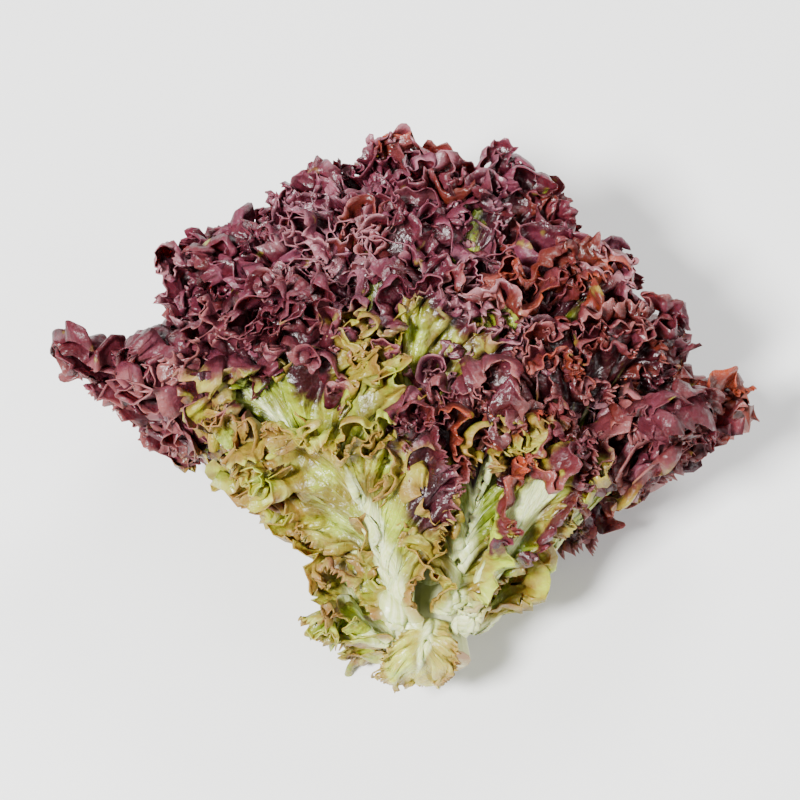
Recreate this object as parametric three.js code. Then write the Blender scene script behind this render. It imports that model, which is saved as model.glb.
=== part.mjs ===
// A head of curly red leaf lettuce, cut from its root and lying on its side.
// Millimetres. X runs across the fan of leaves, Y from the cut stem to the crown, Z up.
// Every leaf follows its own shell of a nested family, so that no two leaves meet: a shell is a curve
// from the stem to the crown, turned round the head's axis and then pressed flat as the head lies down.
import * as THREE from 'three';
import { mergeVertices } from 'three/addons/utils/BufferGeometryUtils.js';

// ---- driving dimensions ----
const STEM_LENGTH = 76;
const STEM_FOOT_RADIUS = 16;
const STEM_TIP_RADIUS = 3;
const STEM_SIDES = 20;
const STEM_RINGS = 8;
const FOOT_GAP = 1.6; // from the stem to the middle of a leaf's foot

const HEART_REACH = 212; // from the cut stem to the crown, along a shell's chord
const RIM_REACH = 188;
const HEART_LEAN = 5; // degrees from the head's axis to the end of a shell
const RIM_LEAN = 54;
const HEART_RISE = 2; // degrees from the axis at which a shell leaves the stem
const RIM_RISE = 40;
const HEART_FOOT = 66; // how far up the stem a leaf grows
const RIM_FOOT = 10;
const SHELL_BEND = 0.45; // how far along a shell's chord its bend lies

const AXIS_HEIGHT_AT_STEM = 21; // the head's axis above the table
const AXIS_HEIGHT_AT_CROWN = 60;
const CROWN_START = 12; // along Y, where the stem's round section begins to flatten
const CROWN_FULL = 120; // along Y, where it is flattened most
const TOP_PRESS = 0.43; // height over half width of the crown, above the axis
const TABLE_SQUARENESS = 2.7; // superellipse exponent of the underside, 2 is round
const TABLE_CLEARANCE = 2.5;

const GOLDEN_ANGLE = 137.508; // from one leaf of the spiral to the next
const SPIRAL_LEAVES = 28;
const TOP_LEAF_TURN = 119; // where the outermost leaf of the spiral sits, 90 is straight up
const OPEN_ALONG = 0.6; // along a leaf, where it has opened to its full width
const RIB_WIDTH = 0.2; // of a leaf's half width
const FRILL_START = 0.7; // along and across a leaf, where its frill begins
const SIDE_FRILL = 0.5; // frill of a leaf's sides over that of its tip
const ROW_CROWDING = 1.2; // above 1, a leaf's rows of faces crowd towards its tip

const DEG = Math.PI / 180;
const mix = (a, b, s) => a + (b - a) * s;
const ramp = (from, to, x) => {
  const s = Math.min(1, Math.max(0, (x - from) / (to - from)));
  return s * s * (3 - 2 * s);
};

// ---- the nested shells ----
const stemRadius = (y) => mix(STEM_FOOT_RADIUS, STEM_TIP_RADIUS, y / STEM_LENGTH);

// The curve of a shell as distance from the head's axis and distance along it.
// layer is 0 at the heart and 1 at the rim, along runs from 0 at the stem to 1 at the crown.
function shellCurve(layer, along) {
  const footY = mix(HEART_FOOT, RIM_FOOT, layer);
  const footR = stemRadius(footY) + FOOT_GAP;
  const lean = mix(HEART_LEAN, RIM_LEAN, layer) * DEG;
  const rise = mix(HEART_RISE, RIM_RISE, layer) * DEG;
  const reach = mix(HEART_REACH, RIM_REACH, layer);
  const endR = reach * Math.sin(lean);
  const endY = reach * Math.cos(lean);
  const arm = SHELL_BEND * Math.hypot(endR - footR, endY - footY);
  const bendR = footR + arm * Math.sin(rise);
  const bendY = footY + arm * Math.cos(rise);
  const rest = 1 - along;
  return [
    rest * rest * footR + 2 * rest * along * bendR + along * along * endR,
    rest * rest * footY + 2 * rest * along * bendY + along * along * endY,
  ];
}

// Distance from the axis of the outermost shell at a distance along it.
function rimRadius(y) {
  let low = 0;
  let high = 1;
  for (let i = 0; i < 24; i += 1) {
    const middle = (low + high) / 2;
    if (shellCurve(1, middle)[1] < y) low = middle;
    else high = middle;
  }
  return shellCurve(1, low)[0];
}

// Lays the head down: a point of the upright head goes to its place over the table.
function layDown(radius, turn, y) {
  const axisHeight = mix(AXIS_HEIGHT_AT_STEM, AXIS_HEIGHT_AT_CROWN, ramp(0, CROWN_FULL, y));
  const press = ramp(CROWN_START, CROWN_FULL, y);
  if (Math.sin(turn) >= 0) {
    const height = radius * Math.sin(turn) * mix(1, TOP_PRESS, press);
    return new THREE.Vector3(radius * Math.cos(turn), y, axisHeight + height);
  }
  const square = mix(2, TABLE_SQUARENESS, press);
  const fill = (Math.abs(Math.cos(turn)) ** square + Math.abs(Math.sin(turn)) ** square) ** (-1 / square);
  const drop = (axisHeight - TABLE_CLEARANCE) / Math.max(rimRadius(y), STEM_FOOT_RADIUS + FOOT_GAP);
  return new THREE.Vector3(
    radius * Math.cos(turn) * fill,
    y,
    axisHeight + radius * Math.sin(turn) * fill * drop,
  );
}

// ---- one leaf ----
// across is -1 to 1 over the leaf's width, along is 0 at its foot and 1 at its tip.
function leafMiddle(leaf, across, along) {
  const halfTurn = mix(leaf.footSpread, leaf.spread, ramp(0, OPEN_ALONG, along));
  const tipDrop = 1 - leaf.round * Math.abs(across) ** 3 * ramp(0.35, 1, along);
  const [radius, y] = shellCurve(leaf.layer, along * leaf.length * tipDrop);
  return layDown(radius, (leaf.turn - across * halfTurn) * DEG, y);
}

function leafNormal(leaf, across, along) {
  const step = 0.01;
  const side = leafMiddle(leaf, across + step, along).sub(leafMiddle(leaf, across - step, along));
  const up = leafMiddle(leaf, across, along + step).sub(leafMiddle(leaf, across, along - step));
  return side.cross(up).normalize();
}

// How far the blade stands off its shell: the wave of its frilled margin and the flare of its tip.
function leafLift(leaf, across, along) {
  const tip = ramp(FRILL_START, 1, along);
  const side = SIDE_FRILL * ramp(FRILL_START, 1, Math.abs(across)) * ramp(0.1, OPEN_ALONG, along);
  const wave = Math.sin(leaf.waves * Math.PI * across + leaf.phase + 2 * along);
  return leaf.frill * Math.max(tip, side) * wave + leaf.flare * tip ** 2;
}

// How far the midrib stands out on the leaf's outer face.
function leafRib(leaf, across, along) {
  return leaf.rib * Math.exp(-((across / RIB_WIDTH) ** 2)) * (1 - ramp(0.15, 0.85, along));
}

function leafGeometry(leaf) {
  const box = new THREE.BoxGeometry(2, 1, 1, leaf.columns, leaf.rows, 1);
  box.deleteAttribute('normal');
  box.deleteAttribute('uv');
  const geometry = mergeVertices(box);
  const place = geometry.getAttribute('position');
  for (let i = 0; i < place.count; i += 1) {
    const across = place.getX(i);
    const along = 1 - (0.5 - place.getY(i)) ** ROW_CROWDING;
    const face = place.getZ(i) * 2;
    const outer = leaf.thickness / 2 + leafRib(leaf, across, along);
    const offset = face > 0 ? outer : -leaf.thickness / 2;
    const point = leafMiddle(leaf, across, along);
    point.addScaledVector(leafNormal(leaf, across, along), offset + leafLift(leaf, across, along));
    place.setXYZ(i, point.x, point.y, point.z);
  }
  return geometry;
}

// ---- the stem ----
function stemGeometry() {
  const profile = [new THREE.Vector2(0, 0)];
  for (let ring = 0; ring <= STEM_RINGS; ring += 1) {
    const y = (STEM_LENGTH * ring) / STEM_RINGS;
    profile.push(new THREE.Vector2(stemRadius(y), y));
  }
  profile.push(new THREE.Vector2(0, STEM_LENGTH + STEM_TIP_RADIUS));
  const geometry = new THREE.LatheGeometry(profile, STEM_SIDES);
  const place = geometry.getAttribute('position');
  for (let i = 0; i < place.count; i += 1) {
    const radius = Math.hypot(place.getX(i), place.getZ(i));
    const turn = Math.atan2(place.getZ(i), place.getX(i));
    const point = layDown(radius, turn, place.getY(i));
    place.setXYZ(i, point.x, point.y, point.z);
  }
  return geometry;
}

// ---- materials ----
const stemGreen = new THREE.MeshStandardMaterial({ color: 0xcfd6a0, roughness: 0.55, metalness: 0 });
const leafRed = new THREE.MeshStandardMaterial({ color: 0x5a2233, roughness: 0.45, metalness: 0 });
const leafGreen = new THREE.MeshStandardMaterial({ color: 0x9db04a, roughness: 0.5, metalness: 0 });

// ---- the leaves, heart first ----
const GROUPS = [
  { name: 'heart_leaf', from: 0, material: leafGreen },
  { name: 'inner_leaf', from: 5, material: leafRed },
  { name: 'middle_leaf', from: 12, material: leafRed },
  { name: 'outer_leaf', from: 20, material: leafRed },
];

function spiralLeaf(i) {
  const layer = i / (SPIRAL_LEAVES - 1);
  const turn = TOP_LEAF_TURN + (i - SPIRAL_LEAVES + 1) * GOLDEN_ANGLE;
  const upward = Math.max(0, Math.sin(turn * DEG)) ** 1.5;
  const right = Math.max(0, Math.cos(turn * DEG));
  const group = GROUPS.filter((g) => g.from <= i).at(-1);
  return {
    name: `${group.name}_${i - group.from + 1}`,
    material: group.material,
    layer,
    turn,
    length: (1 - 0.5 * upward * ramp(0.35, 1, layer)) * (1 - 0.18 * right * layer),
    footSpread: mix(22, 31, layer),
    spread: mix(62, 44, layer) * (1 + 0.25 * Math.abs(Math.cos(turn * DEG))),
    round: 0.14,
    rib: mix(0, 1.1, layer),
    thickness: mix(0.7, 1.1, layer),
    frill: mix(0.15, 2.3, layer),
    flare: mix(0.2, 4.4, layer),
    waves: mix(3, 4.5, layer),
    phase: 1.7 * i,
    columns: layer < 0.3 ? 10 : 16,
    rows: layer < 0.3 ? 5 : 7,
  };
}

// Short old leaves at the foot of the head, outside the spiral.
const BASE_LEAVES = [
  { layer: 1.05, turn: 50, length: 0.56, spread: 24 },
  { layer: 1.07, turn: 170, length: 0.25 },
  { layer: 1.1, turn: 92, length: 0.26 },
  { layer: 1.13, turn: 210, length: 0.16 },
];

function baseLeaf(place, i) {
  return {
    ...place,
    name: `base_leaf_${i + 1}`,
    material: leafGreen,
    footSpread: 26,
    spread: place.spread ?? 34,
    round: 0.25,
    rib: 0.6,
    thickness: 1.2,
    frill: 1.5,
    flare: 3,
    waves: 2.5,
    phase: 2.3 * i,
    columns: 10,
    rows: 5,
  };
}

const leaves = [
  ...Array.from({ length: SPIRAL_LEAVES }, (_, i) => spiralLeaf(i)),
  ...BASE_LEAVES.map(baseLeaf),
];

// ---- the whole head ----
const head = new THREE.Group();
head.name = 'lettuce_head';

const stem = new THREE.Mesh(stemGeometry(), stemGreen);
stem.name = 'stem_core';
head.add(stem);

for (const leaf of leaves) {
  const mesh = new THREE.Mesh(leafGeometry(leaf), leaf.material);
  mesh.name = leaf.name;
  head.add(mesh);
}

// The origin is under the middle of the head, on the table.
const bounds = new THREE.Box3().setFromObject(head);
const centre = bounds.getCenter(new THREE.Vector3());
head.position.set(-centre.x, -centre.y, -bounds.min.z);

export default head;
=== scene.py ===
# A head of curly red leaf lettuce lying on its side. Every leaf is a frilled sheet with a rib and veins,
# laid on the shell that its CAD leaf follows. One small base leaf leaves its shell: it folds over the
# cut end of the stem.
import math

import bpy
import numpy as np
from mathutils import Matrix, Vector


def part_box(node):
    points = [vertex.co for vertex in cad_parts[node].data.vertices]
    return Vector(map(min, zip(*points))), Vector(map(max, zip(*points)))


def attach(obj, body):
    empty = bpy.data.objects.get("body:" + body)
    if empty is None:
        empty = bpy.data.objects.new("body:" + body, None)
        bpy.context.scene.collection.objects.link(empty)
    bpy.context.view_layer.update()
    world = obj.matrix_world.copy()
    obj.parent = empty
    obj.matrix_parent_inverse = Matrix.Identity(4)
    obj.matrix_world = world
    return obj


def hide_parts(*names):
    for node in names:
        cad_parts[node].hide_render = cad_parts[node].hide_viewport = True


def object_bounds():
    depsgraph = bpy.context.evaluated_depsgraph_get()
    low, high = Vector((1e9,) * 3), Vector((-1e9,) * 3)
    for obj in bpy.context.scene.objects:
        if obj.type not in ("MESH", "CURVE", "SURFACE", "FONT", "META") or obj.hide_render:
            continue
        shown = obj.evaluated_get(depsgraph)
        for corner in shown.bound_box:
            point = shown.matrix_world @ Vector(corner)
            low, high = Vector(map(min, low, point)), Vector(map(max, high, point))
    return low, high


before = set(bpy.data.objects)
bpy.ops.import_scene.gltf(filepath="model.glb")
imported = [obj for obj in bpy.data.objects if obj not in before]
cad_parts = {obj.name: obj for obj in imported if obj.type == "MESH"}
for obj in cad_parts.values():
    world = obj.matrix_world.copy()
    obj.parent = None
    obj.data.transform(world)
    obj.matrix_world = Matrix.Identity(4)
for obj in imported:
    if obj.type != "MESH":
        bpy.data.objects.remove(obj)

CAD_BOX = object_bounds()
MM = 0.001
DEG = math.pi / 180

# ---- camera: over the cut stem, looking down the head ----
ELEVATION = 65 * DEG
AIM_FROM_STEM = Vector((-0.012, 0.104, 0.050))
LENS = 100.0
SENSOR = 36.0
VIEW_WIDTH = 0.325

# ---- the head, in millimetres: the same shells as the CAD leaves ----
STEM_LENGTH = 76
STEM_FOOT_RADIUS = 16
STEM_TIP_RADIUS = 3
FOOT_GAP = 1.6  # from the stem to the middle of a leaf's foot
HEART_REACH = 212  # from the cut stem to the crown, along a shell's chord
RIM_REACH = 188
HEART_LEAN = 5  # degrees from the head's axis to the end of a shell
RIM_LEAN = 54
HEART_RISE = 2  # degrees from the axis at which a shell leaves the stem
RIM_RISE = 40
HEART_FOOT = 66  # how far up the stem a leaf grows
RIM_FOOT = 10
SHELL_BEND = 0.45  # how far along a shell's chord its bend lies
AXIS_HEIGHT_AT_STEM = 21  # the head's axis above the table
AXIS_HEIGHT_AT_CROWN = 60
CROWN_START = 12  # along the head, where its round section begins to flatten
CROWN_FULL = 120  # along the head, where it is flattened most
TOP_PRESS = 0.43  # height over half width of the crown, above the axis
TABLE_SQUARENESS = 2.7  # superellipse exponent of the underside, 2 is round
TABLE_CLEARANCE = 2.5
ORIGIN_FROM_STEM = 105  # along the head, about where the frame's origin lies

GOLDEN_ANGLE = 137.508  # from one leaf of the spiral to the next
SPIRAL_LEAVES = 28
TOP_LEAF_TURN = 119  # where the outermost leaf of the spiral sits, 90 is straight up
OPEN_ALONG = 0.6  # along a leaf, where it has opened to its full width
ROUNDED_MARGIN = 0.62  # from the tip (0) to the foot (1), where the rounded end turns into the side
VEIN_GAP = 15.0  # along the margin, from one side vein to the next
TOOTH = 1.3  # along the margin, from one tooth to the next
LOBE_RUN = 500  # keeps the patterns of a leaf's lobes apart
THICKNESS_LEVELS = 60
LEAST_ADVANCE = 0.32  # a frill gathers the margin to no less than this share of its length


def mix(a, b, s):
    return a + (b - a) * s


def ramp(start, end, x):
    s = np.clip((x - start) / (end - start), 0, 1)
    return s * s * (3 - 2 * s)


def stem_radius(y):
    return mix(STEM_FOOT_RADIUS, STEM_TIP_RADIUS, y / STEM_LENGTH)


def shell_curve(layer, along):
    """Distance from the head's axis, and along it, of a shell from the stem (0) to the crown (1)."""
    foot_y = mix(HEART_FOOT, RIM_FOOT, layer)
    foot_r = stem_radius(foot_y) + FOOT_GAP
    lean = mix(HEART_LEAN, RIM_LEAN, layer) * DEG
    rise = mix(HEART_RISE, RIM_RISE, layer) * DEG
    reach = mix(HEART_REACH, RIM_REACH, layer)
    end_r = reach * math.sin(lean)
    end_y = reach * math.cos(lean)
    arm = SHELL_BEND * math.hypot(end_r - foot_r, end_y - foot_y)
    bend_r = foot_r + arm * math.sin(rise)
    bend_y = foot_y + arm * math.cos(rise)
    rest = 1 - along
    return (
        rest * rest * foot_r + 2 * rest * along * bend_r + along * along * end_r,
        rest * rest * foot_y + 2 * rest * along * bend_y + along * along * end_y,
    )


RIM_R, RIM_Y = shell_curve(1, np.linspace(0, 1, 400))


def lay_down(radius, turn, y):
    """Lays the upright head on its side: points of the head to points over the table."""
    axis = mix(AXIS_HEIGHT_AT_STEM, AXIS_HEIGHT_AT_CROWN, ramp(0, CROWN_FULL, y))
    press = ramp(CROWN_START, CROWN_FULL, y)
    c, s = np.cos(turn), np.sin(turn)
    square = mix(2, TABLE_SQUARENESS, press)
    fill = (np.abs(c) ** square + np.abs(s) ** square) ** (-1 / square)
    rim = np.maximum(np.interp(y, RIM_Y, RIM_R), STEM_FOOT_RADIUS + FOOT_GAP)
    drop = (axis - TABLE_CLEARANCE) / rim
    above = s >= 0
    x = radius * c * np.where(above, 1, fill)
    height = radius * s * np.where(above, mix(1, TOP_PRESS, press), fill * drop)
    return np.stack([x, y + 0 * x, axis + height], axis=-1)


STEM_LOW, STEM_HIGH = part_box("stem_core")
STEM_UNDER = float(lay_down(np.array(STEM_FOOT_RADIUS * 1.0), np.array(-math.pi / 2), np.array(0.0))[2])
AIM = AIM_FROM_STEM + Vector(((STEM_LOW.x + STEM_HIGH.x) / 2, STEM_LOW.y, 0))
SHIFT = np.array([(STEM_LOW.x + STEM_HIGH.x) / 2, STEM_LOW.y, STEM_LOW.z - STEM_UNDER * MM])

# ---- the room that the frill may take, round the CAD box ----
BOX_LOW = np.array(CAD_BOX[0])
BOX_HIGH = np.array(CAD_BOX[1])
PROUD_SHARE = 0.03
PROUD_EXTRA = 0.010
ROOM_USED = 0.93  # of what is allowed, so that the leaf's thickness stays inside too
PROUD = PROUD_SHARE * (BOX_HIGH - BOX_LOW) + PROUD_EXTRA
ROOM_LOW = BOX_LOW - ROOM_USED * PROUD
ROOM_HIGH = BOX_HIGH + ROOM_USED * PROUD
WALL_SOFTNESS = 0.012
FLOOR_LIFT = 0.0006
FLOOR_SOFTNESS = 0.0004
SETTLE = 0.0022  # how far the lowest leaves give under the head's weight
SETTLE_FADE = 0.012


# ---- noise along a line ----
def wander(rng, s, size):
    """Smooth noise over s, about -1 to 1, whose swings are about size long."""
    total = np.zeros_like(s)
    for k, weight in ((0.8, 0.5), (1.37, 0.6), (2.3, 0.5), (3.9, 0.4)):
        total = total + weight * np.sin(2 * math.pi * s / (size * k) + rng.uniform(0, 2 * math.pi))
    return total / 1.2


def smooth(rows, width):
    """Running mean of each row over width samples."""
    width = max(3, int(width) | 1)
    pad = width // 2
    padded = np.pad(rows, ((0, 0), (pad, pad)), mode="reflect", reflect_type="odd")
    total = np.cumsum(np.pad(padded, ((0, 0), (1, 0))), axis=1)
    return (total[:, width:] - total[:, :-width]) / width


# ---- one leaf ----
def drape_point(leaf, across, along):
    """A small leaf that bends back over the cut end of the stem: its path is a curve in Y and Z."""
    rest = 1 - along
    weights = (rest**3, 3 * rest**2 * along, 3 * rest * along**2, along**3)
    y = sum(w * p[0] for w, p in zip(weights, leaf["drape"]))
    z = sum(w * p[1] for w, p in zip(weights, leaf["drape"]))
    half = mix(leaf["drape_foot"], leaf["drape_width"], ramp(0, 0.5, along))
    x = -across * half + leaf["drape_shift"] * along
    return np.stack([x, y + 0 * x, z - x * x / leaf["drape_round"]], axis=-1)


def blade_point(leaf, across, along):
    """The leaf's shell: across is -1 to 1 over its width, along is 0 at its foot and 1 at its tip."""
    if "drape" in leaf:
        return drape_point(leaf, across, along)
    half = mix(leaf["foot_spread"], leaf["spread"], ramp(0, OPEN_ALONG, along))
    radius, y = shell_curve(leaf["layer"], along * leaf["length"])
    return lay_down(radius, (leaf["turn"] - across * half) * DEG, y)


def margin(leaf, w):
    """The margin's outline from the tip (w 0) to the foot (w 1), in across and along."""
    shoulder = leaf["shoulder"]
    round_part = np.clip(w / ROUNDED_MARGIN, 0, 1) * math.pi / 2
    power = 2 / leaf["fullness"]
    across = np.sin(round_part) ** power
    along = shoulder + (1 - shoulder) * np.cos(round_part) ** power
    down = np.clip((w - ROUNDED_MARGIN) / (1 - ROUNDED_MARGIN), 0, 1)
    across = across * (1 - leaf["waist"] * ramp(0, 1, down))
    along = np.where(w > ROUNDED_MARGIN, shoulder * (1 - down), along)
    return across, along


def unit(v):
    return v / np.maximum(np.linalg.norm(v, axis=-1, keepdims=True), 1e-9)


def meander(rng, s, inside, step, waves, foot, per_mm):
    """A ribbon that winds to and fro, tighter towards the margin: how far it slips along and rises off."""
    swing = np.zeros_like(s)
    for size, bend, band in waves:
        lean = 0.3 * size * wander(rng, inside + 0 * s, 30)
        phase = 2 * math.pi * (s + lean) / size + 0.9 * wander(rng, s, size * 2.2)
        strength = bend * (1 + 0.25 * wander(rng, s, size * 2.7))
        swing = swing + strength * ramp(band, 0.15 * band, inside) * np.sin(phase)
    swing = swing * foot
    advance = smooth(np.cos(swing), 1.5 * waves[0][0] * per_mm)
    gather = 1 / np.maximum(advance, LEAST_ADVANCE)
    slip = np.cumsum((gather * np.cos(swing) - 1) * step, axis=1)
    rise = np.cumsum(gather * np.sin(swing) * step, axis=1)
    return slip - smooth(slip, 60 * per_mm), rise - smooth(rise, 45 * per_mm)


def margin_steps(columns, reach):
    """Positions along the margin: -1 and 1 at the foot, 0 at the tip, closer together near the tip."""
    t = np.linspace(-1, 1, columns + 1)
    return reach * np.sign(t) * (0.78 * np.abs(t) + 0.22 * np.abs(t) ** 6)


def margin_line(leaf, u):
    """Margin points at u, in across and along, at even steps of real length, and half its length."""
    fine = np.linspace(0, 1, 600)
    edge = blade_point(leaf, *margin(leaf, fine))
    run = np.concatenate([[0], np.cumsum(np.linalg.norm(np.diff(edge, axis=0), axis=1))])
    w = np.interp(np.abs(u) * run[-1], run, fine)
    across, along = margin(leaf, w)
    s = u * run[-1]
    rng = np.random.default_rng(leaf["seed"] + 7)
    lobe = leaf["notch"] * wander(rng, s, 38) + 0.5 * leaf["notch"] * wander(rng, s, 15)
    along = along * (1 + lobe * ramp(1, 0.7, np.abs(u)))
    return across * np.sign(u), along, run[-1]


def blade_frame(leaf, across, along):
    """Point, outward normal, direction along the margin and direction towards it, over the plain blade."""
    base = blade_point(leaf, across, along)
    eps = 0.004
    side = blade_point(leaf, across + eps, along) - blade_point(leaf, across - eps, along)
    up = blade_point(leaf, across, along + eps) - blade_point(leaf, across, along - eps)
    normal = unit(np.cross(side, up))
    tangent = unit(np.gradient(base, axis=1))
    tangent = unit(tangent - normal * np.sum(tangent * normal, axis=-1, keepdims=True))
    half_width = np.linalg.norm(side, axis=-1) / (2 * eps)
    return base, normal, tangent, np.cross(normal, tangent), half_width


def billow(leaf, s, inside):
    """The broad swell of the blade, which its ruffles share."""
    rng = np.random.default_rng(leaf["seed"] + 3)
    near = ramp(70, 8, inside)
    return leaf["billow"] * near * wander(rng, s, 44)


def leaf_surface(leaf):
    """Points of the frilled blade in millimetres, with what the material needs to know of each point."""
    rng = np.random.default_rng(leaf["seed"])
    u = margin_steps(leaf["columns"], 1)
    end_across, end_along, half_length = margin_line(leaf, u)
    start_along = leaf["fork"] * (1 - np.abs(u)) ** 1.2
    t = np.linspace(0, 1, leaf["rows"] + 1)
    v = (1 - (1 - t) ** 1.6)[:, None]
    across = v * end_across
    along = mix(start_along, end_along, v ** 0.9)
    base, normal, tangent, outward, half_width = blade_frame(leaf, across, along)

    ray = np.linalg.norm(base[-1] - base[0], axis=-1)
    inside = (1 - v) * ray
    s = (u * half_length)[None, :] + 0 * v
    step = np.linalg.norm(np.gradient(base, axis=1), axis=-1)
    foot = ramp(0, 15, half_length - np.abs(s))
    per_mm = leaf["columns"] / (2 * half_length)
    slip, rise = meander(rng, s, inside, step, leaf["waves"], foot, per_mm)

    # the margin rolls outwards, more in some places than in others
    roll = leaf["roll"] * (1 + 0.6 * wander(rng, s, 40)) * foot
    bend = roll * ramp(leaf["roll_band"], leaf["roll_end"], inside)
    tooth = (1 + leaf["teeth"] * teeth(rng, s) * ramp(5, 0, inside) * foot)
    ahead = -np.diff(inside, axis=0, prepend=inside[:1]) * tooth
    roll_back = np.cumsum(np.cos(bend) * ahead, axis=0) - (inside[:1] - inside)
    roll_up = np.cumsum(np.sin(bend) * ahead, axis=0)

    # veins leave the rib at even steps; the blade swells between them
    rib_width = mix(leaf["rib_width"], 1.2, ramp(0, 0.9, along)) * 0.5
    to_rib = np.abs(across) * half_width
    rib = np.exp(-((to_rib / rib_width) ** 2)) * ramp(0.98, 0.55, along)
    vein_phase = math.pi * (s + 5 * wander(rng, s, 40) + 6 * wander(rng, inside + 0 * s, 50)) / VEIN_GAP
    vein = np.abs(np.cos(vein_phase)) ** 14 * ramp(12, 45, inside) * (1 - rib)
    quilt = leaf["quilt"] * np.abs(np.sin(vein_phase)) * ramp(0, 14, to_rib) * ramp(4, 24, inside)
    pucker = 0.6 * wander(rng, s + 3 * wander(rng, inside + 0 * s, 14), 7) * wander(rng, inside + 0 * s, 9)
    pucker = pucker * ramp(0, 10, to_rib)
    sag = leaf["sag"] * wander(rng, s, 120) * wander(rng, inside + 0 * s, 120) * ramp(0, 30, to_rib)

    point = base + tangent * slip[..., None]
    relief = quilt + pucker + sag + billow(leaf, s, inside)
    point += normal * (rise * np.cos(bend) + roll_up + relief)[..., None]
    point += outward * (roll_back - rise * np.sin(bend))[..., None]
    pale = leaf["pale"] * ramp(9, 20, inside + 5 * wander(rng, s, 30))
    thick = 0.4 + leaf["rib_height"] * rib * ramp(1, 0.2, along) + 0.7 * vein * ramp(20, 60, inside)
    rib = np.clip(rib + 0.6 * vein + pale, 0, 1)
    return {"point": point, "thick": thick, "rib": rib, "inside": inside, "s": s}


def ruffle_surface(leaf, depth, number):
    """A lobe of the leaf folded out over its own blade: a ruffle that stands on it at a depth."""
    rng = np.random.default_rng(leaf["seed"] + 31 * number)
    u = margin_steps(leaf["ruffle_columns"], leaf["ruffle_reach"])
    end_across, end_along, half_length = margin_line(leaf, u)
    start_along = leaf["fork"] * (1 - np.abs(u)) ** 1.2
    s = u * half_length
    ray = np.linalg.norm(
        blade_point(leaf, end_across, end_along) - blade_point(leaf, 0 * u, start_along), axis=-1
    )
    from_margin = depth * (1 + 0.4 * wander(rng, s, 55) + 0.25 * wander(rng, s, 19))
    v = np.clip(1 - from_margin / ray, 0.3, 1)
    t = np.linspace(0, 1, leaf["ruffle_rows"] + 1)[:, None]
    across = v * end_across + 0 * t
    along = mix(start_along, end_along, v ** 0.9) + 0 * t
    base, normal, tangent, outward, _ = blade_frame(leaf, across, along)

    s = s[None, :] + 0 * t
    to_end = half_length * leaf["ruffle_reach"] - np.abs(s)
    ends = ramp(0, 5, to_end)
    height = leaf["ruffle_height"] * (1 + 0.35 * wander(rng, s, 48) + 0.25 * wander(rng, s, 13))
    height = height * (0.08 + 0.92 * ramp(0, 24, to_end))
    inside = (1 - t) * height
    step = np.linalg.norm(np.gradient(base, axis=1), axis=-1)
    per_mm = leaf["ruffle_columns"] / (2 * half_length * leaf["ruffle_reach"])
    slip, rise = meander(rng, s, inside, step, leaf["ruffle_waves"], ends, per_mm)
    stand = leaf["stand"] * (1 + 0.35 * wander(rng, s, 44))
    bend = stand + leaf["roll"] * 1.2 * (1 + 0.6 * wander(rng, s, 30)) * ramp(0.2, 1, t)
    tooth = 1 + leaf["teeth"] * teeth(rng, s) * ramp(4, 0, inside)
    ahead = height / leaf["ruffle_rows"] * tooth * (t > 0)
    forward = np.cumsum(np.cos(bend) * ahead, axis=0)
    up = np.cumsum(np.sin(bend) * ahead, axis=0)
    point = base + tangent * slip[..., None]
    swell = billow(leaf, s, from_margin)
    point += normal * (rise * np.cos(bend) + up + swell)[..., None]
    point += outward * (forward - rise * np.sin(bend))[..., None]
    thick = 0.35 + 0 * s
    return {"point": point, "thick": thick, "rib": 0 * s, "inside": inside, "s": s + LOBE_RUN * number}


def teeth(rng, s):
    """Pointed teeth along the margin, -1 to 1."""
    phase = s / TOOTH + 0.7 * wander(rng, s, 9)
    saw = 1 - 2 * np.abs(2 * (phase - np.floor(phase)) - 1)
    return saw * (0.6 + 0.5 * wander(rng, s, 21))


def into_room(p):
    """Keeps points over the table and within the room round the CAD box, with a soft stop."""
    settled = SETTLE * np.exp(-np.maximum(p[..., 2], 0) / SETTLE_FADE)
    z = p[..., 2] - FLOOR_LIFT - settled
    p[..., 2] = FLOOR_LIFT + FLOOR_SOFTNESS * np.logaddexp(0, z / FLOOR_SOFTNESS)
    for axis in range(3):
        for sign, wall in ((1, ROOM_HIGH[axis]), (-1, ROOM_LOW[axis])):
            if axis == 2 and sign < 0:
                continue
            near = wall * sign - WALL_SOFTNESS
            over = np.maximum(p[..., axis] * sign - near, 0)
            held = WALL_SOFTNESS * (1 - np.exp(-over / WALL_SOFTNESS))
            p[..., axis] = sign * (np.minimum(p[..., axis] * sign, near) + held)
    return p


def deselect():
    for o in bpy.context.selected_objects:
        o.select_set(False)


def add_float(mesh, name, values):
    layer = mesh.attributes.new(name, "FLOAT", "POINT")
    layer.data.foreach_set("value", values.astype(np.float32))


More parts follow.
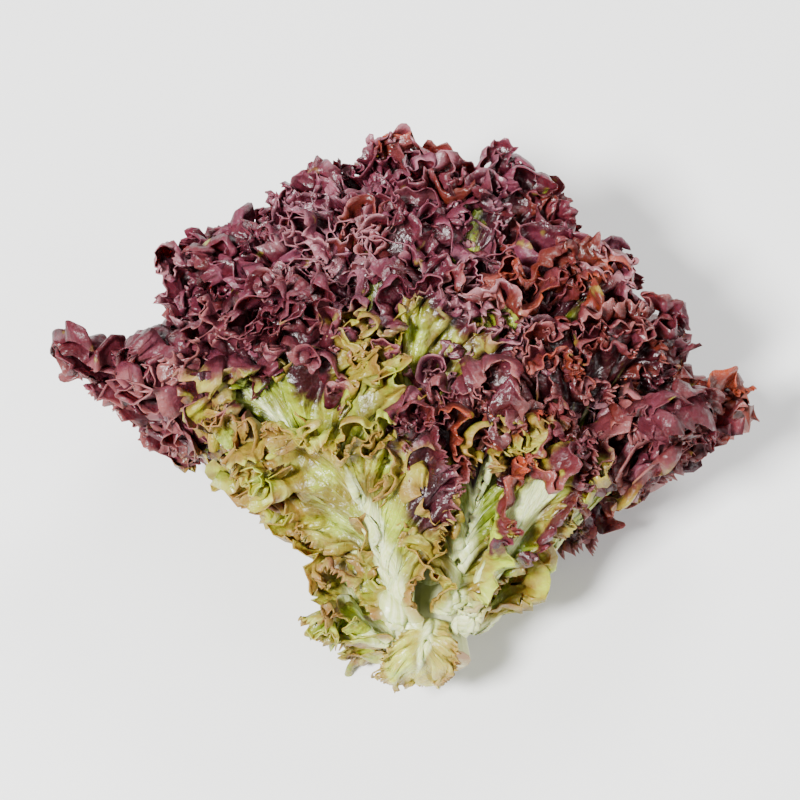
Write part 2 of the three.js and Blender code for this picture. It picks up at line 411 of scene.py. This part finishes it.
def make_sheet(leaf, made, name):
    """A closed sheet through the points of a surface, as thick as it says."""
    rows, columns = (n - 1 for n in made["s"].shape)
    place = into_room(made["point"] * MM + SHIFT)
    deselect()
    bpy.ops.mesh.primitive_grid_add(x_subdivisions=columns, y_subdivisions=rows, size=2)
    piece = bpy.context.active_object
    piece.name = name
    mesh = piece.data
    co = np.empty(len(mesh.vertices) * 3, np.float32)
    mesh.vertices.foreach_get("co", co)
    co = co.reshape(-1, 3)
    col = np.rint((co[:, 0] + 1) / 2 * columns).astype(int)
    row = np.rint((co[:, 1] + 1) / 2 * rows).astype(int)
    mesh.vertices.foreach_set("co", place[row, col].astype(np.float32).ravel())

    add_float(mesh, "red", leaf_red(leaf, made, place)[row, col])
    add_float(mesh, "warm", leaf_warmth(leaf, made, place)[row, col])
    add_float(mesh, "rib", made["rib"][row, col])
    add_float(mesh, "inside", made["inside"][row, col])
    add_float(mesh, "run", made["s"][row, col])
    thick = made["thick"][row, col]
    group = piece.vertex_groups.new(name="thick")
    full = float(thick.max())
    level = np.rint(thick / full * THICKNESS_LEVELS)
    for value in np.unique(level):
        group.add(np.nonzero(level == value)[0].tolist(), float(value / THICKNESS_LEVELS), "REPLACE")
    mesh.update()
    for skin in LEAF_SKIN[leaf.get("skin", leaf["slot"])]:
        mesh.materials.append(skin)

    bpy.ops.object.mode_set(mode="EDIT")
    bpy.ops.mesh.select_all(action="SELECT")
    bpy.ops.mesh.remove_doubles(threshold=1e-6)
    bpy.ops.object.mode_set(mode="OBJECT")
    wall = piece.modifiers.new("wall", "SOLIDIFY")
    wall.thickness = full * MM
    wall.offset = 1
    wall.vertex_group = "thick"
    wall.use_even_offset = False
    wall.material_offset = 1
    wall.material_offset_rim = 1
    bpy.ops.object.modifier_apply(modifier="wall")
    bpy.ops.object.shade_smooth()
    piece.vertex_groups.clear()
    return piece


def make_leaf(leaf):
    name = leaf["name"] + "_frilled"
    piece = make_sheet(leaf, leaf_surface(leaf), name)
    lobes = [
        make_sheet(leaf, ruffle_surface(leaf, depth, k + 1), f"{name}_lobe_{k + 1}")
        for k, depth in enumerate(leaf["ruffles"])
    ]
    if lobes:
        deselect()
        for lobe in lobes:
            lobe.select_set(True)
        piece.select_set(True)
        bpy.context.view_layer.objects.active = piece
        bpy.ops.object.join()
    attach(piece, "root")
    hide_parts(leaf["name"])


def leaf_red(leaf, made, place):
    """How red the blade is, 0 green to 1 burgundy: red at the margin, green at the foot."""
    rng = np.random.default_rng(leaf["seed"] + 13)
    s, inside = made["s"], made["inside"]
    side_from, side_to, side_reach = leaf["red_side"]
    side = side_reach * ramp(side_from, side_to, place[..., 0] / MM)
    band = leaf["red_band"] * (1 + 0.45 * wander(rng, s, 50)) * np.maximum(1 + side / 38, 0.4)
    at_margin = ramp(1.25 * band, 0.35 * band, inside)
    up_head = place[..., 1] / MM + ORIGIN_FROM_STEM
    start = leaf["red_from"] - side - 20 * np.clip(place[..., 0] / 0.1, -0.5, 1)
    upper = ramp(start - 20, start + 20, up_head + 16 * wander(rng, s, 60))
    return np.clip(at_margin * upper * leaf["red_full"], 0, 1)


def leaf_warmth(leaf, made, place):
    """The hue of the red: 0 purple to 1 rust, warmer on the right of the head."""
    rng = np.random.default_rng(leaf["seed"] + 17)
    own = rng.uniform(-0.22, 0.22)
    return np.clip(0.42 + own + 2.2 * place[..., 0] + 0.3 * wander(rng, made["s"], 45), 0, 1)


# ---- shader maths ----
class Sock:
    """A node's output that can be added, multiplied and so on."""

    def __init__(self, tree, out):
        self.tree = tree
        self.out = out

    def math(self, kind, *others):
        return node(self.tree, "ShaderNodeMath", {"operation": kind}, dict(enumerate((self, *others))))

    def __add__(self, x):
        return self.math("ADD", x)

    __radd__ = __add__

    def __mul__(self, x):
        return self.math("MULTIPLY", x)

    __rmul__ = __mul__

    def __sub__(self, x):
        return self.math("SUBTRACT", x)

    def __rsub__(self, x):
        return node(self.tree, "ShaderNodeMath", {"operation": "SUBTRACT"}, {0: x, 1: self})

    def ramp(self, low, high, out_low=0.0, out_high=1.0):
        return node(
            self.tree, "ShaderNodeMapRange", {"interpolation_type": "SMOOTHSTEP"},
            {"Value": self, "From Min": low, "From Max": high, "To Min": out_low, "To Max": out_high},
        )


def node(tree, kind, settings, inputs, output=0):
    """Adds a node: its settings first, then the values or links of its sockets."""
    made = tree.nodes.new(kind)
    for key, value in settings.items():
        setattr(made, key, value)
    for key, value in inputs.items():
        socket = made.inputs[key]
        if isinstance(value, Sock):
            tree.links.new(value.out, socket)
        else:
            socket.default_value = value
    return Sock(tree, made.outputs[output])


def rgb(text):
    """Linear colour of a hex colour."""
    parts = [int(text[i : i + 2], 16) / 255 for i in (0, 2, 4)]
    return [c / 12.92 if c < 0.04045 else ((c + 0.055) / 1.055) ** 2.4 for c in parts] + [1]


def blend(tree, share, a, b):
    made = tree.nodes.new("ShaderNodeMix")
    made.data_type = "RGBA"
    for key, value in ((0, share), (6, a), (7, b)):
        if isinstance(value, Sock):
            tree.links.new(value.out, made.inputs[key])
        else:
            made.inputs[key].default_value = value
    return Sock(tree, made.outputs[2])


def attribute(tree, name):
    return node(tree, "ShaderNodeAttribute", {"attribute_name": name}, {}, "Fac")


def noise(tree, coords, scale, detail=3, rough=0.55, distort=0.0):
    return node(
        tree, "ShaderNodeTexNoise", {},
        {"Vector": coords, "Scale": scale, "Detail": detail, "Roughness": rough, "Distortion": distort},
        "Fac",
    )


def new_material(name):
    material = bpy.data.materials.new(name)
    material.use_nodes = True
    tree = material.node_tree
    tree.nodes.clear()
    out = tree.nodes.new("ShaderNodeOutputMaterial")
    skin = tree.nodes.new("ShaderNodeBsdfPrincipled")
    tree.links.new(skin.outputs[0], out.inputs["Surface"])
    coords = node(tree, "ShaderNodeTexCoord", {}, {}, "Object")
    return material, tree, skin, coords


def leaf_material(name, green, lime, tan, burgundy, wine, rust, edge, outer):
    material, tree, skin, coords = new_material(name)
    red = attribute(tree, "red")
    rib = attribute(tree, "rib")
    inside = attribute(tree, "inside")
    run = attribute(tree, "run")

    mottle = noise(tree, coords, 60, 4)
    speck = noise(tree, coords, 330, 4, 0.65)
    patch = noise(tree, coords, 22, 3)

    # a net of fine veins that runs with the blade
    flow = node(tree, "ShaderNodeCombineXYZ", {}, {0: run * 0.32, 1: inside * 0.16, 2: 0.0})
    net = node(
        tree, "ShaderNodeTexVoronoi", {"feature": "DISTANCE_TO_EDGE"},
        {"Vector": flow, "Scale": 1.0, "Randomness": 0.9}, "Distance",
    ).ramp(0.0, 0.16)
    wide = node(tree, "ShaderNodeCombineXYZ", {}, {0: run * 0.085, 1: inside * 0.03, 2: 3.0})
    net_wide = node(
        tree, "ShaderNodeTexVoronoi", {"feature": "DISTANCE_TO_EDGE"},
        {"Vector": wide, "Scale": 1.0, "Randomness": 0.8}, "Distance",
    ).ramp(0.0, 0.07)
    veins = (1 - net) * 0.45 + (1 - net_wide) * 0.8

    leafy = blend(tree, patch.ramp(0.35, 0.65), green, lime)
    dry = (mottle * 0.6 + patch * 0.4 + inside.ramp(30.0, 0.0) * 0.16).ramp(0.5, 0.66)
    leafy = blend(tree, dry * 0.7, leafy, tan)
    leafy = blend(tree, veins.ramp(0.0, 1.3, 0.0, 0.38), leafy, rgb("cbdc72"))
    warm = attribute(tree, "warm")
    purple = blend(tree, mottle.ramp(0.3, 0.7), burgundy, wine)
    purple = blend(tree, (warm + (patch - 0.5) * 0.8).ramp(0.45, 1.05), purple, rust)
    purple = blend(tree, veins.ramp(0.0, 1.3, 0.0, 0.35), purple, rgb("7d3a4c"))
    # painted cavity shade: away from the margin, and down at the foot of each ruffle, the purple is
    # darkened towards near black
    cavity_shade = inside.ramp(1.5, 15.0)
    purple = blend(tree, cavity_shade * 0.72, purple, rgb("20060b"))
    # painted shade, broken up by mottle: a band some 4 to 60 mm in from the margin darkens the green
    # towards olive brown
    inner_band_shade = inside.ramp(60.0, 20.0) * inside.ramp(4.0, 20.0) * mottle.ramp(0.3, 0.6)
    leafy = blend(tree, inner_band_shade * 0.75, leafy, rgb("503a12"))
    leafy = blend(tree, inside.ramp(10.0, 0.0) * mottle.ramp(0.42, 0.58) * 0.6, leafy, rgb("774629"))
    share = (red + (speck - 0.5) * 0.35 + (mottle - 0.5) * 0.5 - veins * 0.12).ramp(0.22, 0.62)
    olive = noise(tree, coords, 85, 2).ramp(0.66, 0.74)
    share = share * (1 - olive * 0.65)
    colour = blend(tree, share, leafy, purple)
    tip = inside.ramp(2.4, 0.0) * patch.ramp(0.4, 0.6)
    tip_colour = blend(tree, (warm + (mottle - 0.5) * 0.5).ramp(0.72, 1.0), edge, rgb("a8431e"))
    tip_colour = blend(tree, share, rgb("8f6a30"), tip_colour)
    colour = blend(tree, tip * 0.6, colour, tip_colour)
    across_rib = node(tree, "ShaderNodeCombineXYZ", {}, {0: run * 0.5, 1: inside * 0.05, 2: 0.0})
    stripe = noise(tree, across_rib, 1.4, 2)
    along_rib = node(tree, "ShaderNodeCombineXYZ", {}, {0: run * 0.03, 1: inside * 0.8, 2: 5.0})
    strand = noise(tree, along_rib, 1.0, 2)
    pale = blend(tree, (stripe * 0.4 + strand * 0.6).ramp(0.38, 0.62), rgb("e4e9b6"), rgb("bfcb76"))
    colour = blend(tree, rib.ramp(0.25, 0.8), colour, pale)
    tree.links.new(colour.out, skin.inputs["Base Color"])

    rough = mottle.ramp(0.2, 0.8, 0.22 + 0.08 * outer, 0.38 + 0.1 * outer)
    tree.links.new(rough.out, skin.inputs["Roughness"])
    blister = node(
        tree, "ShaderNodeTexVoronoi", {"feature": "SMOOTH_F1"},
        {"Vector": coords, "Scale": 330.0, "Smoothness": 0.5, "Randomness": 1.0}, "Distance",
    )
    crinkle = noise(tree, coords, 420, 3, 0.6, 0.6)
    height = (veins * 0.35 - blister * 0.9 + crinkle * 0.8 + speck * 0.2) * (1 - rib * 0.7)
    bump = node(
        tree, "ShaderNodeBump", {}, {"Strength": 0.8, "Distance": 0.0009, "Height": height}, "Normal"
    )
    tree.links.new(bump.out, skin.inputs["Normal"])
    skin.inputs["Specular IOR Level"].default_value = 0.5 - 0.15 * outer
    skin.inputs["Subsurface Weight"].default_value = 0.25
    skin.inputs["Subsurface Radius"].default_value = (1.0, 0.45, 0.25)
    skin.inputs["Subsurface Scale"].default_value = 0.0016
    return material


def leaf_skins(name, green, lime, tan, dark, wine, bloom, rust, edge):
    """The two skins of a leaf: its dark glossy inner face and its paler, dull outer face."""
    inner = leaf_material(name + "_inner_face", green, lime, tan, dark, wine, rust, edge, 0.0)
    outer = leaf_material(name + "_outer_face", lime, lime, tan, wine, bloom, rust, edge, 1.0)
    return inner, outer


GREEN = "667a16"
LIME = "a6b62c"
TAN = "85601f"
RUST = "5e2312"
BASE_RED = ("5a3428", "7a4c34", "96694a")
# name: green, lime, tan, dark, wine, bloom, rust, edge
SKIN_COLOURS = {
    "heart_leaf": ("a5b457", "c3cc78", TAN, "44151e", "5a2230", "74404f", RUST, "9a6a68"),
    "inner_leaf": (GREEN, LIME, TAN, "330d16", "4c1420", "6e3446", RUST, "a47480"),
    "middle_leaf": (GREEN, LIME, TAN, "300c14", "4c1520", "693243", RUST, "a9787e"),
    "outer_leaf": (GREEN, LIME, TAN, "2c0a10", "46131a", "5e2a34", RUST, "9a5f5c"),
    "lime_leaf": ("93ad2c", "c2d256", "a88c3a", *BASE_RED, RUST, "b08c66"),
    "base_leaf": (GREEN, LIME, "8d6238", *BASE_RED, "6b3d22", "b08c66"),
}
LEAF_SKIN = {name: leaf_skins(name, *map(rgb, colours)) for name, colours in SKIN_COLOURS.items()}

# ---- the leaves, heart first ----
GROUPS = (("heart_leaf", 0), ("inner_leaf", 5), ("middle_leaf", 12), ("outer_leaf", 20))


def spiral_leaf(i):
    layer = i / (SPIRAL_LEAVES - 1)
    turn = TOP_LEAF_TURN + (i - SPIRAL_LEAVES + 1) * GOLDEN_ANGLE
    upward = max(0, math.sin(turn * DEG)) ** 1.5
    right = max(0, math.cos(turn * DEG))
    slot, first = [g for g in GROUPS if g[1] <= i][-1]
    sideways = abs(math.cos(turn * DEG))
    return {
        "name": f"{slot}_{i - first + 1}",
        "pale": 0,
        "slot": slot,
        "layer": layer,
        "turn": turn,
        "length": (1 - 0.5 * upward * float(ramp(0.35, 1, layer))) * (1 - 0.18 * right * layer)
        * (0.985 - 0.07 * sideways),
        "foot_spread": mix(22, 31, layer),
        "spread": mix(62, 44, layer) * (1 + 0.25 * sideways) * 1.02,
        "shoulder": 0.5,
        "fullness": 3.0,
        "waist": 0.18,
        "fork": 0.66,
        "notch": mix(0.03, 0.08, layer),
        "waves": ((12.5, 1.1, 50), (5.6, 1.1, 36), (2.6, 0.7, 20)),
        "teeth": 0.7,
        "roll": mix(0.5, 1.0, layer),
        "roll_band": mix(14, 24, layer),
        "roll_end": 0,
        "ruffles": (8,) if layer < 0.2 else (2, 12, 23, 35),
        "ruffle_reach": mix(0.68, 0.6, layer),
        "ruffle_height": mix(8, 10, layer),
        "ruffle_waves": ((11, 1.3, 18), (4.6, 1.15, 13), (1.8, 0.8, 10)),
        "ruffle_columns": int(mix(500, 900, min(1, layer * 1.3))),
        "ruffle_rows": 4,
        "stand": 0.7,
        "quilt": mix(0.4, 1.6, layer),
        "billow": mix(1, 5, layer),
        "sag": mix(0, 2.0, layer),
        "rib_width": mix(6, 13, layer),
        "rib_height": mix(0.8, 3.6, layer),
        "red_band": mix(30, 52, layer),
        "red_from": mix(92, 58, layer),
        "red_side": (0, 1, 0),
        "red_full": 1.0,
        "columns": int(mix(220, 400, min(1, layer * 1.4))),
        "rows": int(mix(9, 11, min(1, layer * 1.4))),
        "seed": 100 + i,
    }


BASE_LEAVES = (
    {
        "layer": 1.05, "turn": 50, "length": 0.56, "spread": 16, "foot_spread": 15, "pale": 0.85,
        "rib_width": 16, "rib_height": 3.0, "roll": 0.9, "roll_band": 14, "red_band": 8, "red_from": 34,
        "red_full": 1.0, "ruffles": (1,), "ruffle_reach": 0.26, "ruffle_height": 7, "skin": "outer_leaf",
    },
    {"layer": 1.07, "turn": 170, "length": 0.25, "spread": 26, "foot_spread": 22, "ruffle_height": 4},
    {
        "drape": ((9, 36), (-2, 50), (-15, 42), (-5, 13)), "drape_foot": 8, "drape_width": 14,
        "drape_shift": -7, "drape_round": 60, "roll": 0.3, "quilt": 1.2, "red_full": 0, "ruffle_height": 5,
        "skin": "lime_leaf",
    },
    {
        "layer": 1.13, "turn": 210, "length": 0.16, "spread": 24, "foot_spread": 20, "roll": 0.8,
        "ruffle_height": 4,
    },
)


def base_leaf(place, i):
    return {
        "name": f"base_leaf_{i + 1}",
        "slot": "base_leaf",
        "pale": 0,
        "foot_spread": 26,
        "spread": 36,
        "shoulder": 0.45,
        "fullness": 2.6,
        "waist": 0.15,
        "fork": 0.6,
        "notch": 0.08,
        "waves": ((16, 1.1, 22), (7, 1.2, 14), (3.3, 0.9, 7)),
        "teeth": 0.7,
        "roll": 1.6,
        "roll_band": 26,
        "roll_end": 4,
        "ruffles": (2,),
        "ruffle_reach": 0.7,
        "ruffle_height": 6,
        "ruffle_waves": ((9, 1.2, 12), (4.2, 1.1, 9), (1.8, 0.8, 6)),
        "ruffle_columns": 460,
        "ruffle_rows": 4,
        "stand": 0.6,
        "quilt": 0.8,
        "billow": 2,
        "sag": 0.5,
        "rib_width": 8,
        "rib_height": 1.6,
        "red_band": 12,
        "red_from": 28,
        "red_side": (0, 1, 0),
        "red_full": 0.7,
        "columns": 300,
        "rows": 14,
        "seed": 200 + i,
        **place,
    }


FINE_WAVES = ((9, 1.0, 50), (4.6, 1.1, 36), (2.4, 0.7, 20))

# what sets single leaves apart
OWN_WAYS = {
    # the old top leaf: its broad pale rib shows, and its tip is withered
    "outer_leaf_8": {
        "ruffles": (1,), "rib_width": 16, "rib_height": 4.5, "length": 0.56, "roll": 0.8, "roll_band": 16,
        "foot_spread": 24, "spread": 40, "red_band": 16, "red_from": 84, "red_side": (-9, 4, 46),
        "red_full": 0.95, "quilt": 2.2, "waves": ((17, 1.05, 30), (7.4, 1.2, 20), (3.3, 0.9, 10)),
        "columns": 560, "rows": 15,
    },
    # behind it, a leaf that is bare and green but for its tip, with a broad rib
    "middle_leaf_8": {
        "ruffles": (2,), "ruffle_reach": 0.36, "rib_width": 12, "rib_height": 3.6, "red_band": 20,
        "red_from": 106, "quilt": 2.2,
    },
    "outer_leaf_5": {"red_from": 64},
    # next to the top leaf, its near wing is bare, ribbed and green
    "outer_leaf_3": {
        "ruffles": (2, 12, 23), "ruffle_reach": 0.48, "rib_width": 15, "rib_height": 3.8, "red_band": 34,
        "red_side": (-34, -16, -42), "quilt": 2.4,
    },
    "outer_leaf_2": {
        "waves": FINE_WAVES, "roll": 0.5,
        "ruffle_waves": ((6.5, 1.0, 18), (3.4, 1.0, 13), (1.7, 0.8, 10)), "ruffle_height": 8.5,
    },
    "outer_leaf_7": {"waves": FINE_WAVES, "roll": 0.6},
}

LEAVES = [spiral_leaf(i) for i in range(SPIRAL_LEAVES)]
LEAVES = [{**leaf, **OWN_WAYS.get(leaf["name"], {})} for leaf in LEAVES]
LEAVES += [base_leaf(place, i) for i, place in enumerate(BASE_LEAVES)]
for leaf in LEAVES:
    make_leaf(leaf)


# ---- the stem keeps its CAD shape ----
def stem_material():
    material, tree, skin, coords = new_material("stem")
    grain = noise(tree, coords, 90, 4)
    colour = blend(tree, grain.ramp(0.35, 0.65), rgb("d9dcae"), rgb("bcc183"))
    split = node(tree, "ShaderNodeSeparateXYZ", {}, {0: coords}, 1)
    cut = split.ramp(STEM_LOW.y + 0.0006, STEM_LOW.y + 0.0001)
    colour = blend(tree, cut * grain.ramp(0.3, 0.6), colour, rgb("a2763f"))
    tree.links.new(colour.out, skin.inputs["Base Color"])
    skin.inputs["Roughness"].default_value = 0.55
    return material


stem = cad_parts["stem_core"]
stem.data.materials.clear()
stem.data.materials.append(stem_material())

# ---- floor, lights, camera ----
deselect()
bpy.ops.mesh.primitive_plane_add(size=8)
floor = bpy.context.active_object
floor.name = "floor"
floor_paint = bpy.data.materials.new("floor")
floor_paint.use_nodes = True
floor_skin = floor_paint.node_tree.nodes["Principled BSDF"]
floor_skin.inputs["Base Color"].default_value = (0.93, 0.93, 0.92, 1)
floor_skin.inputs["Roughness"].default_value = 0.8
floor.data.materials.append(floor_paint)


def area_light(name, place, size, power):
    light = bpy.data.lights.new(name, "AREA")
    light.size = size
    light.energy = power
    lamp = bpy.data.objects.new(name, light)
    lamp.location = place
    lamp.rotation_euler = (AIM - Vector(place)).to_track_quat("-Z", "Y").to_euler()
    bpy.context.scene.collection.objects.link(lamp)


area_light("key", (-0.75, -0.6, 1.45), 0.35, 84)
area_light("fill", (1.2, -0.5, 1.0), 0.9, 14)
area_light("back", (0.5, 1.2, 1.1), 0.6, 22)

world = bpy.data.worlds.new("room")
world.use_nodes = True
world.node_tree.nodes["Background"].inputs[0].default_value = (1, 1, 1, 1)
world.node_tree.nodes["Background"].inputs[1].default_value = 0.31
bpy.context.scene.world = world

distance = VIEW_WIDTH * LENS / SENSOR
eye = AIM + distance * Vector((0, -math.cos(ELEVATION), math.sin(ELEVATION)))
lens = bpy.data.cameras.new("camera")
lens.lens = LENS
lens.sensor_width = SENSOR
camera = bpy.data.objects.new("camera", lens)
camera.location = eye
camera.rotation_euler = (AIM - eye).to_track_quat("-Z", "Y").to_euler()
bpy.context.scene.collection.objects.link(camera)
bpy.context.scene.camera = camera
